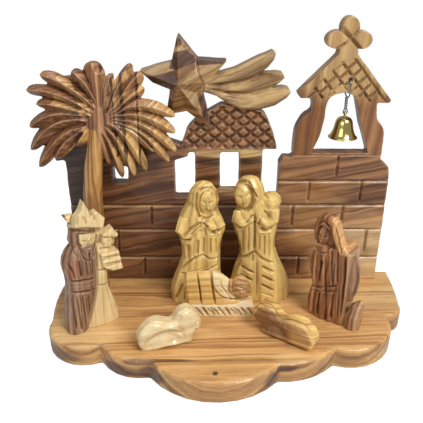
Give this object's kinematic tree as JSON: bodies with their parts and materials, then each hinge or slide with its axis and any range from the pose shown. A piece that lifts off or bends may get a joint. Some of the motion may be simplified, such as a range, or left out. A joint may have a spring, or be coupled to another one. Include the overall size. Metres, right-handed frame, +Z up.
{
  "type": "nativity stable",
  "caption": "Carved olive wood nativity scene: a scalloped base with a sawn backdrop, star, palm tree, figures and lambs, and a brass bell hanging in an open tower.",
  "frame": {"origin": "middle of the base board's underside, on the surface that it stands on", "axes": "+Z up, +X to the right of someone facing the scene, +Y to the back, towards the backdrop"},
  "size_m": [0.2094, 0.1033, 0.1663],
  "materials": {
    "base_wood": "lacquered olive wood, semi-gloss",
    "wall_wood": "lacquered olive wood, semi-gloss",
    "belfry_wood": "lacquered olive wood, semi-gloss",
    "star_wood": "lacquered olive wood, semi-gloss",
    "palm_wood": "lacquered olive wood, semi-gloss",
    "pale_wood": "lacquered olive wood, satin",
    "manger_wood": "lacquered olive wood, satin",
    "kings_wood": "lacquered olive wood, two-tone heartwood and sapwood",
    "shepherd_wood": "lacquered olive wood, satin",
    "lamb_wood": "lacquered olive wood, satin",
    "dowel_wood": "plain turned dowel",
    "bell_brass": "polished brass",
    "hanger_steel": "drawn steel wire"
  },
  "bodies": {
    "stable": {"base_board": "base_wood", "backdrop_wall": "wall_wood", "belfry": "belfry_wood", "star_and_comet": "star_wood", "palm_tree": "palm_wood", "mary": "pale_wood", "joseph": "pale_wood", "manger": "manger_wood", "infant": "manger_wood", "three_kings": "kings_wood", "shepherd": "shepherd_wood", "lamb_left": "pale_wood", "lamb_right": "lamb_wood", "wall_dowel_left": "dowel_wood", "wall_dowel_centre": "dowel_wood", "wall_dowel_right": "dowel_wood", "palm_dowel": "dowel_wood", "belfry_dowel_left": "dowel_wood", "belfry_dowel_right": "dowel_wood"},
    "hanger": {"bell_hanger": "hanger_steel"},
    "bell": {"bell": "bell_brass"},
    "clapper": {"bell_clapper": "bell_brass"}
  },
  "joints": [
    {"name": "hanger_swing", "type": "hinge", "parent": "stable", "child": "hanger", "pos_m": [0.063, 0.0453, 0.1348], "axis": [0, 1, 0], "range_deg": [-4, 9]},
    {"name": "bell_swing", "type": "hinge", "parent": "hanger", "child": "bell", "pos_m": [0.063, 0.0453, 0.1157], "axis": [1, 0, 0], "range_deg": [-40, 40]},
    {"name": "clapper_swing", "type": "hinge", "parent": "bell", "child": "clapper", "pos_m": [0.063, 0.0453, 0.11135], "axis": [1, 0, 0], "range_deg": [-24, 24]}
  ]
}
